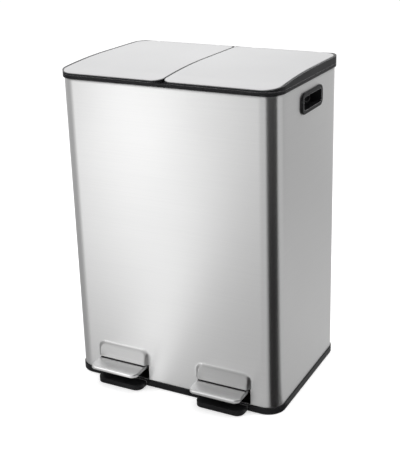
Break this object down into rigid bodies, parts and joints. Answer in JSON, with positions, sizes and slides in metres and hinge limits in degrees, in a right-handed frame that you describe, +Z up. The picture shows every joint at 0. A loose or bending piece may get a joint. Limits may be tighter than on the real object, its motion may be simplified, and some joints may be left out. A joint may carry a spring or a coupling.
{
  "type": "dual recycling pedal bin",
  "caption": "Free-standing brushed steel pedal bin with twin side-by-side compartments, each with its own hinged domed lid, foot pedal, push rod and inner bucket.",
  "frame": {"origin": "on the floor, under the middle of the whole outline with the pedals included", "axes": "+Z up, -Y towards the user who presses the pedals, +X to the user's right"},
  "size_m": [0.452, 0.358, 0.6345],
  "materials": {
    "body_steel": "fine brushed stainless sheet",
    "lid_steel": "satin stainless sheet",
    "pedal_steel": "brushed stainless pressing",
    "black_plastic": "satin black moulding",
    "bucket_plastic": "moulded dark liner",
    "zinc_steel": "zinc plated",
    "rubber": "matt"
  },
  "bodies": {
    "housing": {"base_moulding": "black_plastic", "rubber_feet": "rubber", "steel_shell": "body_steel", "seam_strip": "body_steel", "top_collar": "black_plastic", "bucket_left": "bucket_plastic", "side_grip_left": "black_plastic", "hinge_pins_left": "zinc_steel", "rod_guides_left": "black_plastic", "pedal_bracket_left": "zinc_steel", "pedal_axle_left": "zinc_steel", "bucket_right": "bucket_plastic", "side_grip_right": "black_plastic", "hinge_pins_right": "zinc_steel", "rod_guides_right": "black_plastic", "pedal_bracket_right": "zinc_steel", "pedal_axle_right": "zinc_steel"},
    "lid_left": {"lid_frame_left": "black_plastic", "lid_plate_left": "lid_steel", "lid_crank_left": "zinc_steel", "crank_pin_left": "zinc_steel", "lid_bumpers_left": "rubber"},
    "pedal_left": {"pedal_plate_left": "pedal_steel", "pedal_lever_left": "zinc_steel", "pedal_rivets_left": "zinc_steel"},
    "rod_left": {"push_rod_left": "zinc_steel", "rod_head_left": "zinc_steel"},
    "lid_right": {"lid_frame_right": "black_plastic", "lid_plate_right": "lid_steel", "lid_crank_right": "zinc_steel", "crank_pin_right": "zinc_steel", "lid_bumpers_right": "rubber"},
    "pedal_right": {"pedal_plate_right": "pedal_steel", "pedal_lever_right": "zinc_steel", "pedal_rivets_right": "zinc_steel"},
    "rod_right": {"push_rod_right": "zinc_steel", "rod_head_right": "zinc_steel"}
  },
  "joints": [
    {"name": "lid_left_hinge", "type": "hinge", "parent": "housing", "child": "lid_left", "pos_m": [-0.111, 0.1717, 0.6272], "axis": [-1, 0, 0], "range_deg": [0, 80]},
    {"name": "pedal_left_pivot", "type": "hinge", "parent": "housing", "child": "pedal_left", "pos_m": [-0.111, -0.073, 0.0405], "axis": [1, 0, 0], "range_deg": [0, 8.6]},
    {"name": "rod_left_slide", "type": "slide", "parent": "housing", "child": "rod_left", "axis": [0, 0, 1], "range_m": [0, 0.0335]},
    {"name": "lid_right_hinge", "type": "hinge", "parent": "housing", "child": "lid_right", "pos_m": [0.111, 0.1717, 0.6272], "axis": [-1, 0, 0], "range_deg": [0, 80]},
    {"name": "pedal_right_pivot", "type": "hinge", "parent": "housing", "child": "pedal_right", "pos_m": [0.111, -0.073, 0.0405], "axis": [1, 0, 0], "range_deg": [0, 8.6]},
    {"name": "rod_right_slide", "type": "slide", "parent": "housing", "child": "rod_right", "axis": [0, 0, 1], "range_m": [0, 0.0335]}
  ],
  "couplings": [
    {"joint": "pedal_left_pivot", "follows": "lid_left_hinge", "ratio": 0.10687},
    {"joint": "rod_left_slide", "follows": "lid_left_hinge", "m_per_rad": 0.023939},
    {"joint": "pedal_right_pivot", "follows": "lid_right_hinge", "ratio": 0.10687},
    {"joint": "rod_right_slide", "follows": "lid_right_hinge", "m_per_rad": 0.023939}
  ]
}
